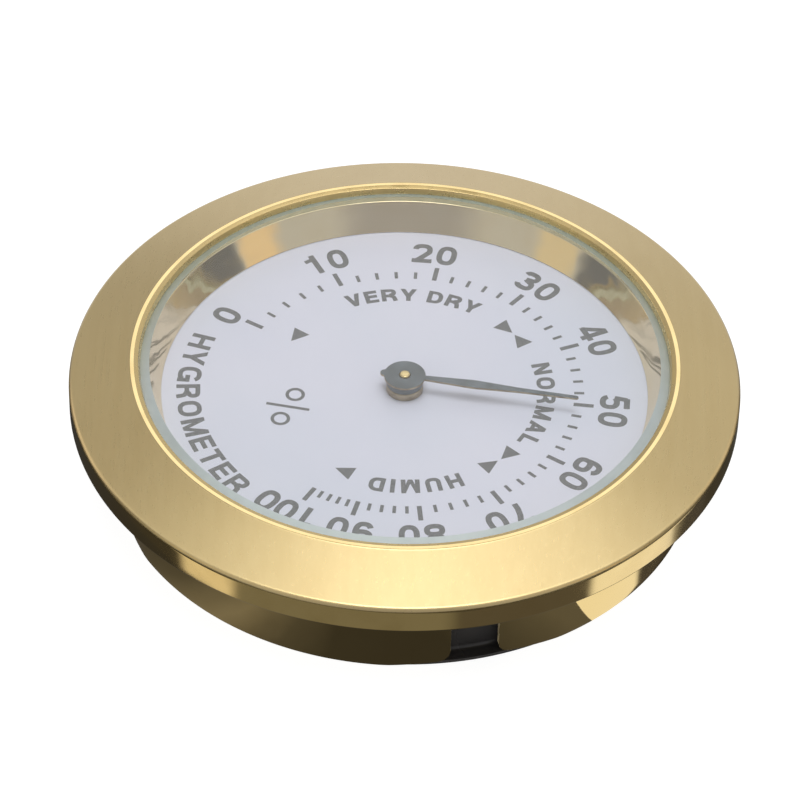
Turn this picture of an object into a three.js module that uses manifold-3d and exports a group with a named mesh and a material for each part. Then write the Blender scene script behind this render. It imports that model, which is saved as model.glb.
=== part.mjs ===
// Insert dial hygrometer, lying on its back.
// Millimetres, +Z out of the dial, +Y towards 12 o'clock, +X towards 3 o'clock.
// The origin is the centre of the flat back.
import * as THREE from 'three';
import { mergeVertices } from 'three/addons/utils/BufferGeometryUtils.js';
import Module from 'manifold-3d';

const wasm = await Module();
wasm.setup();

// ---- driving dimensions -------------------------------------------------
const FLANGE_R = 35;            // outside radius of the bezel
const LIP_R = 28.245;           // crest radius of the bead around the glass
const LIP_Z = 14.6;             // crest height above the back
const LIP_FOOT_R = 28.85;       // where the bead rises from the conical face
const CONE_SLOPE = 0.335;       // rise of the conical face per millimetre of radius
const RIM_Z = 12.3;             // where the conical face meets the rim
const SEAT_Z = 9.3;             // underside of the flange, the panel seat
const BORE_R = 28.05;           // bezel bore
const LENS_R = 27.95;
const LENS_LOW = 12.25;
const LENS_THICK = 2.0;
const LENS_BEVEL = 1.4;         // radial width of the lens bevel
const LENS_BEVEL_DROP = 0.7;
const DIAL_Z = 9.15;            // front face of the dial
const DIAL_THICK = 0.5;
const DIAL_R = 27.85;
const SIGHT_R = 25.4;           // visible dial radius
const SIGHT_TOP_R = 27.1;       // sight ring's radius under the glass
const SKIRT_R = 30.93;
const SKIRT_SHEET = 0.5;
const SKIRT_Z = 0.45;           // lower edge of the skirt
const SLOT_WIDTH = 5.1;
const SLOT_CORNER = 1.2;
const SLOT_COUNT = 4;
const BEND_HEIGHT = 1.2;        // over this height below the seat the skirt bends in
const TAB_BEND = 0.75;          // how far the skirt is set in beside a slot
const TAB_BEND_SPAN = 17;       // degrees from the slot's middle over which it fades
const CASE_R = 28.8;            // case wall
const CASE_WALL = 1.2;
const CASE_FLANGE_R = 30.4;
const CASE_FLANGE_Z = 0.4;
const CASE_BASE = 1.2;
const POINTER_CLOCK = 23.65;    // pointer's clock angle at rest, a reading of about 51 %
const POINTER_TIP_R = 18.3;
const HUB_R = 2.17;
const HUB_TOP = DIAL_Z + 2.03;
const SHEET_POINTER = 0.28;
const ARBOR_R = 0.55;
const ARBOR_HOLE_R = 0.61;      // in the collet, the collar and the pointer
const BUSH_R = 1.5;             // the bush's shank, and the regulator stud's
const SHANK_HOLE_R = 1.57;      // what turns or sits on one of these shanks
const BOSS_R = 1.93;            // the bush's head and the pointer's collar
const BRIDGE_Z = 2.2;
const BRIDGE_THICK = 0.8;
const PILLAR_X = 12.5;
const POST_R = 21;              // radius of the circle of dial posts
const POST_COUNT = 3;
const POST_FIRST = 90;          // degrees from +X to the first post
const VENT_COUNT = 12;
const GAP = 0.05;               // assembly gap between faces that touch
const ROUND = 64;               // sides of the large rings
const ROUND_SKIRT = 96;
const ROUND_MID = 24;
const ROUND_SMALL = 16;
const EPS_CUT = 1;              // how far a cutter runs past the face it cuts

// ---- materials ----------------------------------------------------------
const metal = (color, roughness) => new THREE.MeshStandardMaterial({ color, roughness, metalness: 1 });
const plain = (color, roughness) => new THREE.MeshStandardMaterial({ color, roughness, metalness: 0 });
const brushedBrass = metal(0xd8bd78, 0.38);
const polishedBrass = metal(0xd9b45f, 0.12);
const steel = metal(0xb8b8b4, 0.35);
const coilMetal = metal(0xb9b2a2, 0.5);
const dialWhite = plain(0xf1f1f5, 0.5);
const gunmetal = metal(0x3a3e45, 0.4);
const blackPlastic = plain(0x131418, 0.25);
const lensGlass = new THREE.MeshStandardMaterial({
  color: 0xdfeeea,
  roughness: 0.03,
  metalness: 0,
  transparent: true,
  opacity: 0.25,
});

// ---- shape helpers ------------------------------------------------------
const radians = THREE.MathUtils.degToRad;
const degrees = THREE.MathUtils.radToDeg;

// A solid of revolution about Z; the profile is [radius, z] pairs, anticlockwise.
// A ring's profile is closed on itself here, a disc's starts and ends on the axis.
function revolve(profile, sides) {
  const points = profile.map(([r, z]) => new THREE.Vector2(r, z));
  const onAxis = profile[0][0] === 0;
  if (!onAxis) points.push(points[0].clone());
  const shape = new THREE.LatheGeometry(points, sides);
  shape.rotateX(Math.PI / 2);
  return solid(shape);
}

// A flat outline with holes, raised from z = low to z = high.
function prism(outline, low, high, curveSegments = 6) {
  const raised = new THREE.ExtrudeGeometry(outline, {
    depth: high - low,
    bevelEnabled: false,
    curveSegments,
  });
  raised.translate(0, 0, low);
  return solid(raised);
}

function cylinder(r, low, high, sides) {
  return revolve([[0, low], [r, low], [r, high], [0, high]], sides);
}

function tube(inner, outer, low, high, sides) {
  return revolve([[inner, low], [outer, low], [outer, high], [inner, high]], sides);
}

function box(width, depth, low, high) {
  const block = new THREE.BoxGeometry(width, depth, high - low);
  block.translate(0, 0, (low + high) / 2);
  return solid(block);
}

// A closed geometry as a manifold solid, for joining and cutting.
function solid(geometry) {
  geometry.deleteAttribute('normal');
  geometry.deleteAttribute('uv');
  const merged = mergeVertices(geometry, 1e-4);
  const made = new wasm.Manifold(new wasm.Mesh({
    numProp: 3,
    vertProperties: new Float32Array(merged.attributes.position.array),
    triVerts: new Uint32Array(merged.index.array),
  }));
  return made;
}

function surface(shape) {
  const mesh = shape.getMesh();
  const geometry = new THREE.BufferGeometry();
  geometry.setAttribute('position', new THREE.BufferAttribute(mesh.vertProperties, 3));
  geometry.setIndex(new THREE.BufferAttribute(mesh.triVerts, 1));
  geometry.computeVertexNormals();
  return geometry;
}

// Points of a quarter or other arc in a profile, ends included.
function arc(centreR, centreZ, radius, from, to, steps) {
  const points = [];
  for (let i = 0; i <= steps; i += 1) {
    const angle = radians(from + ((to - from) * i) / steps);
    points.push([centreR + radius * Math.cos(angle), centreZ + radius * Math.sin(angle)]);
  }
  return points;
}

const hygrometer = new THREE.Group();

function add(name, shape, material, holder = hygrometer) {
  const mesh = new THREE.Mesh(surface(shape), material);
  mesh.name = name;
  holder.add(mesh);
  return mesh;
}

// ---- case front ---------------------------------------------------------
function bezel() {
  const rimRound = 0.4;
  const lipRound = 0.9;
  const lipOuterAngle = 60;
  const lipInnerAngle = 98;
  const seatRound = 0.3;
  const retainerR = 27.55;
  const retainerZ = 13.85;
  const wallTop = retainerZ + 0.12;
  const recessInner = 28.95;
  const recessOuter = 31.05;
  const recessZ = 9.85;
  const footZ = RIM_Z + CONE_SLOPE * (FLANGE_R - LIP_FOOT_R);
  const coneAngle = 90 - degrees(Math.atan(CONE_SLOPE));
  const bevelSlope = LENS_BEVEL_DROP / LENS_BEVEL;
  return revolve([
    [BORE_R, SEAT_Z],
    [recessInner, SEAT_Z],
    [recessInner, recessZ],
    [recessOuter, recessZ],
    [recessOuter, SEAT_Z],
    ...arc(FLANGE_R - seatRound, SEAT_Z + seatRound, seatRound, -90, 0, 2),
    ...arc(FLANGE_R - rimRound, RIM_Z - rimRound * 0.75, rimRound, 0, coneAngle, 3),
    [LIP_FOOT_R, footZ],
    ...arc(LIP_R, LIP_Z - lipRound, lipRound, lipOuterAngle, lipInnerAngle, 6),
    [retainerR, wallTop],
    [retainerR, retainerZ],
    [BORE_R, retainerZ - bevelSlope * (BORE_R - retainerR)],
  ], ROUND);
}

function lens() {
  const high = LENS_LOW + LENS_THICK;
  return revolve([
    [0, LENS_LOW],
    [LENS_R, LENS_LOW],
    [LENS_R, high - LENS_BEVEL_DROP],
    [LENS_R - LENS_BEVEL, high],
    [0, high],
  ], ROUND);
}

// The sight ring: a thin cone with a flange under the glass and a foot on the dial.
function reflectorRing() {
  const low = DIAL_Z + GAP;
  const high = LENS_LOW - GAP;
  const sheet = 0.4;
  return revolve([
    [SIGHT_R, low],
    [SIGHT_R + 1, low],
    [SIGHT_R + 1, low + sheet],
    [SIGHT_R + 0.6, low + sheet],
    [SIGHT_TOP_R + 0.25, high - sheet],
    [LENS_R, high - sheet],
    [LENS_R, high],
    [SIGHT_TOP_R, high],
  ], ROUND);
}

function dialPlate() {
  return tube(BUSH_R + 0.12, DIAL_R, DIAL_Z - DIAL_THICK, DIAL_Z, ROUND);
}

// ---- skirt --------------------------------------------------------------
// How far the skirt is set in at a clock position: full beside a slot, none between slots.
function tabInset(angle, z) {
  const pitch = (2 * Math.PI) / SLOT_COUNT;
  const offset = Math.abs(angle - pitch * Math.round(angle / pitch));
  const along = Math.min(offset / radians(TAB_BEND_SPAN), 1);
  const tall = THREE.MathUtils.clamp((SEAT_Z - z) / BEND_HEIGHT, 0, 1);
  return TAB_BEND * tall * (1 - along);
}

function slotCutter() {
  const half = SLOT_WIDTH / 2;
  const outline = new THREE.Shape();
  outline.moveTo(-half, SEAT_Z);
  outline.lineTo(-half, SKIRT_Z + SLOT_CORNER);
  outline.absarc(-half - SLOT_CORNER, SKIRT_Z + SLOT_CORNER, SLOT_CORNER, 0, -Math.PI / 2, true);
  outline.lineTo(-half - SLOT_CORNER, SKIRT_Z - EPS_CUT);
  outline.lineTo(half + SLOT_CORNER, SKIRT_Z - EPS_CUT);
  outline.lineTo(half + SLOT_CORNER, SKIRT_Z);
  outline.absarc(half + SLOT_CORNER, SKIRT_Z + SLOT_CORNER, SLOT_CORNER, -Math.PI / 2, -Math.PI, true);
  outline.lineTo(half, SEAT_Z);
  const depth = 5;
  const cutter = new THREE.ExtrudeGeometry(outline, { depth, bevelEnabled: false, curveSegments: 4 });
  cutter.translate(0, 0, SKIRT_R - depth + EPS_CUT);
  cutter.rotateX(Math.PI / 2);
  cutter.rotateZ(-Math.PI / 2);
  return solid(cutter);
}

function mountingSkirt() {
  const inner = SKIRT_R - SKIRT_SHEET;
  const collarR = 29.1;
  const top = SEAT_Z + SKIRT_SHEET;
  const bendZ = SEAT_Z - BEND_HEIGHT;
  const points = [
    [inner, SKIRT_Z],
    [SKIRT_R, SKIRT_Z],
    [SKIRT_R, bendZ],
    [SKIRT_R, SEAT_Z],
    [SKIRT_R, top],
    [collarR, top],
    [collarR, SEAT_Z],
    [inner, SEAT_Z],
    [inner, bendZ],
  ];
  let ring = revolve(points, ROUND_SKIRT).warp((vertex) => {
    const [x, y, z] = vertex;
    const r = Math.hypot(x, y);
    const scale = (r - tabInset(Math.atan2(y, x), z)) / r;
    vertex[0] = x * scale;
    vertex[1] = y * scale;
  });
  for (let i = 0; i < SLOT_COUNT; i += 1) {
    ring = ring.subtract(slotCutter().rotate([0, 0, (360 / SLOT_COUNT) * i]));
  }
  return ring;
}

// ---- rear case ----------------------------------------------------------
const ADJUSTER_HOLE_R = 3.2;
const HEAD_R = 1.9;
const HEAD_Z = 0.7;

function postAngle(i) {
  return POST_FIRST + (360 / POST_COUNT) * i;
}

function ventSlot(length, width) {
  const half = width / 2;
  const outline = new THREE.Shape();
  outline.absarc(length / 2, 0, half, -Math.PI / 2, Math.PI / 2, false);
  outline.absarc(-length / 2, 0, half, Math.PI / 2, Math.PI * 1.5, false);
  return prism(outline, -EPS_CUT, CASE_BASE + EPS_CUT, 3);
}

function rearCase() {
  const inner = CASE_R - CASE_WALL;
  const ledge = DIAL_Z - DIAL_THICK - GAP;
  const top = SEAT_Z - GAP;
  const edge = 0.15;
  let shell = revolve([
    [ADJUSTER_HOLE_R, 0],
    [CASE_FLANGE_R - edge, 0],
    [CASE_FLANGE_R, edge],
    [CASE_FLANGE_R, CASE_FLANGE_Z - edge],
    [CASE_FLANGE_R - edge, CASE_FLANGE_Z],
    [CASE_R + 0.5, CASE_FLANGE_Z],
    [CASE_R, CASE_FLANGE_Z + 0.5],
    [CASE_R, top],
    [DIAL_R + 0.15, top],
    [DIAL_R + 0.15, ledge],
    [inner, ledge],
    [inner, CASE_BASE],
    [ADJUSTER_HOLE_R, CASE_BASE],
  ], ROUND);
  const shankHole = 1.1;
  const headRoom = 0.2;
  const ventMiddleR = 13.5;
  const ventLength = 6.5;
  const ventWidth = 1.6;
  for (let i = 0; i < VENT_COUNT; i += 1) {
    const turn = (360 / VENT_COUNT) * (i + 0.5);
    shell = shell.subtract(
      ventSlot(ventLength, ventWidth).translate([ventMiddleR, 0, 0]).rotate([0, 0, turn]),
    );
  }
  for (let i = 0; i < POST_COUNT; i += 1) {
    const hole = cylinder(shankHole, -EPS_CUT, CASE_BASE + EPS_CUT, ROUND_SMALL)
      .add(cylinder(HEAD_R + headRoom, -EPS_CUT, HEAD_Z, ROUND_SMALL));
    shell = shell.subtract(hole.translate([POST_R, 0, 0]).rotate([0, 0, postAngle(i)]));
  }
  return shell;
}

// A post with a pilot bore in its lower end.
function post(r, bore, low, boreTop, high) {
  return cylinder(r, low, high, ROUND_SMALL).subtract(cylinder(bore, low - EPS_CUT, boreTop, ROUND_SMALL));
}

// A screw pointing up, with a slotted head.
function screw(headR, shankR, low, shoulder, high) {
  const slotWidth = 0.5;
  const slotDepth = 0.35;
  const slot = box(headR * 3, slotWidth, low - EPS_CUT, low + slotDepth);
  return revolve([
    [0, low],
    [headR, low],
    [headR, shoulder],
    [shankR, shoulder],
    [shankR, high - shankR],
    [shankR * 0.3, high],
    [0, high],
  ], ROUND_SMALL).subtract(slot);
}

function addDialPosts() {
  const under = DIAL_Z - DIAL_THICK - GAP;
  for (let i = 0; i < POST_COUNT; i += 1) {
    const holder = new THREE.Group();
    holder.rotation.z = radians(postAngle(i));
    const spot = new THREE.Group();
    spot.position.x = POST_R;
    holder.add(spot);
    hygrometer.add(holder);
    add(`dial_post_${i + 1}`, post(2, 0.85, CASE_BASE + GAP, 5.6, under), polishedBrass, spot);
    add(`case_screw_${i + 1}`, screw(HEAD_R, 0.75, 0.1, HEAD_Z - GAP, 5.2), steel, spot);
  }
}

// ---- movement -----------------------------------------------------------
function dialBush() {
  const bore = ARBOR_R + 0.08;
  const low = 7.2;
  const head = DIAL_Z + GAP;
  const headTop = head + 0.8;
  const edge = 0.12;
  return revolve([
    [bore, low],
    [BUSH_R, low],
    [BUSH_R, head],
    [BOSS_R, head],
    [BOSS_R, headTop - edge],
    [BOSS_R - edge, headTop],
    [bore, headTop],
  ], ROUND_MID);
}

function bushNut() {
  const hex = cylinder(2.9, 7.3, DIAL_Z - DIAL_THICK - GAP, 6);
  return hex.subtract(cylinder(SHANK_HOLE_R, 0, DIAL_Z, ROUND_MID));
}

function movementBridge() {
  const end = 2.4;
  const outline = new THREE.Shape();
  outline.absarc(PILLAR_X, 0, end, -Math.PI / 2, Math.PI / 2, false);
  outline.absarc(-PILLAR_X, 0, end, Math.PI / 2, Math.PI * 1.5, false);
  const high = BRIDGE_Z + BRIDGE_THICK;
  let strap = prism(outline, BRIDGE_Z, high).add(cylinder(4.2, BRIDGE_Z, high, ROUND_MID));
  strap = strap.subtract(cylinder(2.1, 0, 5, ROUND_MID));
  for (const side of [-1, 1]) {
    strap = strap.subtract(cylinder(0.8, 0, 5, ROUND_SMALL).translate([PILLAR_X * side, 0, 0]));
  }
  return strap;
}

function addPillars() {
  const under = DIAL_Z - DIAL_THICK - GAP;
  const top = BRIDGE_Z + BRIDGE_THICK + GAP;
  [-1, 1].forEach((side, i) => {
    const spot = new THREE.Group();
    spot.position.x = PILLAR_X * side;
    hygrometer.add(spot);
    add(`bridge_pillar_${i + 1}`, post(1.6, 0.7, top, 6.6, under), polishedBrass, spot);
    add(`bridge_screw_${i + 1}`, screw(1.4, 0.6, 1.45, BRIDGE_Z - GAP, 6.2), steel, spot);
  });
}

// The slotted rear adjuster; the arbor's rear pivot runs in its blind bore.
function regulatorStud() {
  const shoulder = BRIDGE_Z + BRIDGE_THICK + 0.03;
  const body = revolve([
    [0, 0.5],
    [2.6, 0.5],
    [2.8, 0.7],
    [2.8, 1.75],
    [2.0, 1.75],
    [2.0, shoulder],
    [BUSH_R, shoulder],
    [BUSH_R, 4.0],
    [0.36, 4.0],
    [0.36, 3.0],
    [0, 3.0],
  ], ROUND_MID);
  return body.subtract(box(7, 0.8, 0, 1.1));
}

function frictionWasher() {
  return tube(2.1, 3.0, 1.8, BRIDGE_Z - GAP, ROUND_MID);
}

const COIL_ANCHOR_R = 9.2;
const ARM_LOW = BRIDGE_Z + BRIDGE_THICK + 0.08;
const ARM_HIGH = ARM_LOW + 0.4;

function regulatorArm() {
  const outline = new THREE.Shape();
  outline.moveTo(0, -1.3);
  outline.lineTo(COIL_ANCHOR_R, -0.9);
  outline.absarc(COIL_ANCHOR_R, 0, 0.9, -Math.PI / 2, Math.PI / 2, false);
  outline.lineTo(0, 1.3);
  let arm = prism(outline, ARM_LOW, ARM_HIGH).add(cylinder(2.9, ARM_LOW, ARM_HIGH, ROUND_MID));
  arm = arm.subtract(cylinder(SHANK_HOLE_R, 0, 6, ROUND_MID));
  return arm.subtract(cylinder(0.5, 0, 6, ROUND_SMALL).translate([COIL_ANCHOR_R, 0, 0]));
}

function coilStud() {
  return revolve([
    [0, ARM_LOW],
    [0.45, ARM_LOW],
    [0.45, ARM_HIGH + GAP],
    [0.75, ARM_HIGH + GAP],
    [0.75, 4.3],
    [0.5, 4.3],
    [0.5, 7.0],
    [0, 7.0],
  ], ROUND_SMALL).translate([COIL_ANCHOR_R, 0, 0]);
}

// The spiral strip, from just off the collet to just short of its anchor post.
function sensorCoil() {
  const turns = 4.9;
  const startR = 1.95;
  const endR = COIL_ANCHOR_R - 0.8;
  const strip = 0.22;
  const steps = 120;
  const outer = [];
  const inner = [];
  for (let i = 0; i <= steps; i += 1) {
    const share = i / steps;
    const angle = 2 * Math.PI * turns * (share - 1);
    const r = startR + (endR - startR) * share;
    outer.push(new THREE.Vector2((r + strip / 2) * Math.cos(angle), (r + strip / 2) * Math.sin(angle)));
    inner.push(new THREE.Vector2((r - strip / 2) * Math.cos(angle), (r - strip / 2) * Math.sin(angle)));
  }
  return prism(new THREE.Shape([...outer, ...inner.reverse()]), 4.6, 6.7);
}

function coilCollet() {
  return tube(ARBOR_HOLE_R, 1.6, 4.4, 6.9, ROUND_MID);
}

function pointerArbor() {
  const top = HUB_TOP + 0.17;
  return revolve([
    [0, 3.1],
    [0.28, 3.1],
    [0.28, 4.2],
    [ARBOR_R, 4.2],
    [ARBOR_R, top - 0.1],
    [ARBOR_R - 0.1, top],
    [0, top],
  ], ROUND_SMALL);
}

function pointerCollar() {
  const high = HUB_TOP - SHEET_POINTER - GAP;
  return tube(ARBOR_HOLE_R, BOSS_R, DIAL_Z + 0.9, high, ROUND_MID);
}

// Blade along +Y, hub disc on the axis and a short round tail.
function pointer() {
  const high = HUB_TOP;
  const low = HUB_TOP - SHEET_POINTER;
  const widths = [
    [0.3, 0],
    [0.3, HUB_R + 0.2],
    [0.58, 7.3],
    [0.3, 12],
    [0.2, POINTER_TIP_R - 0.2],
    [0, POINTER_TIP_R],
  ];
  const right = widths.map(([half, r]) => new THREE.Vector2(half, r));
  const left = widths.slice(0, -1).reverse().map(([half, r]) => new THREE.Vector2(-half, r));
  const blade = new THREE.Shape([...right, ...left]);
  const tail = cylinder(0.45, low, high, ROUND_SMALL).translate([0, 0.02 - HUB_R, 0]);
  const disc = cylinder(HUB_R, low, high, ROUND_MID);
  return prism(blade, low, high).add(disc).add(tail).subtract(cylinder(ARBOR_HOLE_R, 0, 20, ROUND_SMALL));
}

// ---- assembly -----------------------------------------------------------
add('bezel', bezel(), brushedBrass);
add('lens', lens(), lensGlass);
add('reflector_ring', reflectorRing(), polishedBrass);
add('dial_plate', dialPlate(), dialWhite);
add('mounting_skirt', mountingSkirt(), polishedBrass);
add('rear_case', rearCase(), blackPlastic);
addDialPosts();
add('dial_bush', dialBush(), polishedBrass);
add('bush_nut', bushNut(), polishedBrass);
add('movement_bridge', movementBridge(), polishedBrass);
addPillars();
add('friction_washer', frictionWasher(), steel);
add('regulator_stud', regulatorStud(), polishedBrass);
add('regulator_arm', regulatorArm(), polishedBrass);
add('coil_stud', coilStud(), polishedBrass);
add('sensor_coil', sensorCoil(), coilMetal);

const hand = new THREE.Group();
hand.rotation.z = -radians(POINTER_CLOCK);
hygrometer.add(hand);
add('coil_collet', coilCollet(), polishedBrass, hand);
add('pointer_arbor', pointerArbor(), polishedBrass, hand);
add('pointer_collar', pointerCollar(), gunmetal, hand);
add('pointer', pointer(), gunmetal, hand);

export default hygrometer;
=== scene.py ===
"""Looks of the insert dial hygrometer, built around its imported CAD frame.

Objects are in metres. Outlines and sizes in this script are in millimetres, and MM turns them
into metres where a mesh is made. +Z comes out of the dial, +Y points to the dial's 12 o'clock.
"""
import math

import bpy
from mathutils import Matrix, Vector


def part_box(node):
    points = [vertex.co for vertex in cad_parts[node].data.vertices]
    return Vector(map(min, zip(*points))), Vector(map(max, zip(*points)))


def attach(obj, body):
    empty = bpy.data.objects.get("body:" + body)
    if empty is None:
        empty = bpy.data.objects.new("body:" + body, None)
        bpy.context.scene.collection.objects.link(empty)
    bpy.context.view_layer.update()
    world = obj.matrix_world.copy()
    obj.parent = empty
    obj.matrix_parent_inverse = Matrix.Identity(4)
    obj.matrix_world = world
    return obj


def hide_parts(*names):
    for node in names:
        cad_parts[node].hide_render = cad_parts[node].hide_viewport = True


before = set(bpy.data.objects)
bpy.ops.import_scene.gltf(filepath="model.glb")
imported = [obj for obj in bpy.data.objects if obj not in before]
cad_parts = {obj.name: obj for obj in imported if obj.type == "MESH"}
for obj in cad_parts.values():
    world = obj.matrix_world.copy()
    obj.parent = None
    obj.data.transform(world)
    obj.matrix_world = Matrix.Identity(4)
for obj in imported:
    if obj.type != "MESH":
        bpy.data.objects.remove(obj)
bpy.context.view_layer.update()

MM = 0.001
TURN = 2 * math.pi
QUARTER = math.pi / 2


def extent(node):
    """Lowest and highest corner of a CAD node, in millimetres."""
    low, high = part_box(node)
    return low / MM, high / MM


def heights(node):
    """Lowest and highest z of a CAD node, in millimetres."""
    return [corner.z for corner in extent(node)]


# ---- driving sizes, from the frame ----
bezel_low, bezel_high = extent("bezel")
lens_low, lens_high = extent("lens")
skirt_low, skirt_high = extent("mounting_skirt")
case_low, case_high = extent("rear_case")
dial_low, dial_high = extent("dial_plate")
ring_low, ring_high = extent("reflector_ring")

FLANGE_R = bezel_high.x
SEAT_Z = bezel_low.z
LIP_Z = bezel_high.z
RIM_Z = LIP_Z - 2.3
LIP_R = FLANGE_R - 6.755
LIP_FOOT_R = FLANGE_R - 6.25
CONE_SLOPE = 0.358
LENS_R = lens_high.x
BORE_R = LENS_R + 0.1
SKIRT_R = skirt_high.x
DIAL_Z = dial_high.z
DIAL_R = dial_high.x
SIGHT_R = 25.4
SIGHT_TOP_R = 27.1
HUB_R = 2.17
POINTER_CLOCK = 23.65
SIDES = 288
SHARP = math.radians(32)

# ---- camera ----
CAMERA_AZIMUTH = math.radians(75.3)
CAMERA_ELEVATION = 41.84   # degrees
CAMERA_DISTANCE = 450.0
CAMERA_ROLL = math.radians(1.308)
CAMERA_LENS = 194.2


def around(azimuth, elevation):
    """Unit vector to a place round the object; azimuth 0 is towards the camera, 90 to its right."""
    turn = CAMERA_AZIMUTH + math.radians(azimuth)
    rise = math.radians(elevation)
    return Vector((math.sin(turn) * math.cos(rise), -math.cos(turn) * math.cos(rise), math.sin(rise)))


def new_object(name, data):
    thing = bpy.data.objects.new(name, data)
    bpy.context.scene.collection.objects.link(thing)
    return thing


def make_camera():
    data = bpy.data.cameras.new("camera")
    data.lens = CAMERA_LENS
    data.clip_start = 0.01
    data.clip_end = 20.0
    camera = new_object("camera", data)
    bpy.context.scene.camera = camera
    pivot = Vector((0, 0, RIM_Z)) * MM
    place = pivot + around(0, CAMERA_ELEVATION) * CAMERA_DISTANCE * MM
    aim = around(-90, 0) * 0.45 * MM + Vector((0, 0, RIM_Z - 3.73)) * MM
    look = (aim - place).normalized()
    side = look.cross(Vector((0, 0, 1))).normalized()
    up = side.cross(look)
    right = side * math.cos(CAMERA_ROLL) + up * math.sin(CAMERA_ROLL)
    top = up * math.cos(CAMERA_ROLL) - side * math.sin(CAMERA_ROLL)
    turned = Matrix((right, top, -look)).transposed().to_4x4()
    camera.matrix_world = Matrix.Translation(place) @ turned


make_camera()


# ---- node helpers ----
class Tree:
    """A short way to write a node tree."""
    def __init__(self, tree):
        self.tree = tree

    def add(self, kind, inputs=None, **settings):
        node = self.tree.nodes.new("ShaderNode" + kind)
        for key, value in settings.items():
            setattr(node, key, value)
        for key, value in (inputs or {}).items():
            if isinstance(value, bpy.types.NodeSocket):
                self.tree.links.new(value, node.inputs[key])
            else:
                node.inputs[key].default_value = value
        return node

    def link(self, source, target):
        self.tree.links.new(source, target)

    def math(self, operation, a, b=0.0):
        return self.add("Math", {0: a, 1: b}, operation=operation).outputs[0]

    def ramp(self, factor, low, high, to_low=0.0, to_high=1.0):
        """Maps factor from low..high to to_low..to_high, smoothly and clamped."""
        inputs = {"Value": factor, "From Min": low, "From Max": high, "To Min": to_low, "To Max": to_high}
        return self.add("MapRange", inputs, interpolation_type="SMOOTHSTEP").outputs[0]

    def mix(self, factor, a, b):
        return self.add("Mix", {"Factor": factor, 6: a, 7: b}, data_type="RGBA").outputs[2]

    def noise(self, scale, detail=3.0, roughness=0.55, turn=0.0):
        """Noise in object coordinates; three numbers as scale draw it out to a grain, turned about Z."""
        vector = self.add("TexCoord").outputs["Object"]
        if isinstance(scale, tuple):
            turned = self.add("Mapping", {"Vector": vector, "Rotation": (0, 0, -turn)}).outputs[0]
            vector = self.add("Mapping", {"Vector": turned, "Scale": scale}).outputs[0]
            scale = 1.0
        inputs = {"Vector": vector, "Scale": scale, "Detail": detail, "Roughness": roughness}
        return self.add("TexNoise", inputs).outputs[0]

    def bump(self, height, strength, distance, normal=None):
        inputs = {"Height": height, "Strength": strength, "Distance": distance}
        if normal is not None:
            inputs["Normal"] = normal
        return self.add("Bump", inputs).outputs[0]


def rgb(r, g, b):
    return (r, g, b, 1.0)


def new_material(name, **values):
    """A Principled material; values are set on the shader's own sockets."""
    material = bpy.data.materials.new(name)
    material.use_nodes = True
    shader = material.node_tree.nodes["Principled BSDF"]
    for key, value in values.items():
        shader.inputs[key.replace("_", " ")].default_value = value
    return material, Tree(material.node_tree), shader


# ---- materials ----
BRASS = rgb(0.86, 0.67, 0.33)
BRASS_DEEP = rgb(0.80, 0.61, 0.285)


def mottled(name, cloud, tone, colours, gloss=None, bumps=(), **values):
    """A material whose colour, and whose roughness where gloss is given, follow a cloud of noise.

    cloud and the first entry of a bump are what Tree.noise takes, and tone and gloss are what
    Tree.ramp takes after its factor. A bump ends with its strength and its depth in metres.
    """
    material, tree, shader = new_material(name, **values)
    shade = tree.noise(*cloud)
    tree.link(tree.mix(tree.ramp(shade, *tone), *colours), shader.inputs["Base Color"])
    if gloss:
        tree.link(tree.ramp(shade, *gloss), shader.inputs["Roughness"])
    normal = None
    for pattern, strength, depth in bumps:
        normal = tree.bump(tree.noise(*pattern), strength, depth, normal)
    if bumps:
        tree.link(normal, shader.inputs["Normal"])
    return material


def brushed_brass():
    """Lacquered brass with a straight fine grain, one way across the whole ring."""
    material, tree, shader = new_material("brushed_brass", Metallic=1.0, Anisotropic=0.75, Coat_Weight=0.8,
                                          Coat_Roughness=0.2)
    grain_way = CAMERA_AZIMUTH - QUARTER
    fine = tree.noise((45, 5200, 5200), 4.0, 0.65, grain_way)
    streak = tree.noise((14, 900, 900), 2.0, turn=grain_way)
    cloud = tree.noise(90.0)
    tone = tree.math("MULTIPLY", tree.ramp(streak, 0.3, 0.7), 0.35)
    tone = tree.math("ADD", tone, tree.ramp(cloud, 0.35, 0.7, 0.0, 0.3))
    tree.link(tree.mix(tone, BRASS, BRASS_DEEP), shader.inputs["Base Color"])
    tree.link(tree.ramp(fine, 0.3, 0.7, 0.27, 0.35), shader.inputs["Roughness"])
    tree.link(tree.bump(fine, 0.015, 0.00002), shader.inputs["Normal"])
    across = around(90, 0)
    tree.link(tree.add("CombineXYZ", {0: across.x, 1: across.y, 2: 0.0}).outputs[0], shader.inputs["Tangent"])
    return material


BRUSHED = brushed_brass()

# The turned rim: bright, with fine turning lines round it and a little tarnish.
RIM = mottled("rim_brass", (220, 4), (0.35, 0.75), (BRASS, BRASS_DEEP), (0.35, 0.75, 0.09, 0.17),
              [((60, 2), 0.12, 0.0004), (((40, 40, 9000), 3), 0.05, 0.00002)],
              Metallic=1.0, Coat_Weight=0.5, Coat_Roughness=0.06)

# Bright rolled sheet with a slight upright grain and handling marks.
SHEET = mottled("sheet_brass", (160, 4), (0.4, 0.75, 0, 0.7), (BRASS, BRASS_DEEP), (0.35, 0.75, 0.07, 0.2),
                [((55, 1), 0.25, 0.0006), (((3000, 3000, 60), 3, 0.6), 0.06, 0.00002)], Metallic=1.0)

# The sheet's cut edges: paler and half diffuse, a painted highlight for the light the rounded edges catch.
EDGE = mottled("cut_edge_painted_highlight", (1200, 3), (0.3, 0.7), (rgb(0.85, 0.72, 0.44), rgb(0.78, 0.64, 0.36)),
               (0.3, 0.7, 0.24, 0.36), Metallic=0.5)

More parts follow.
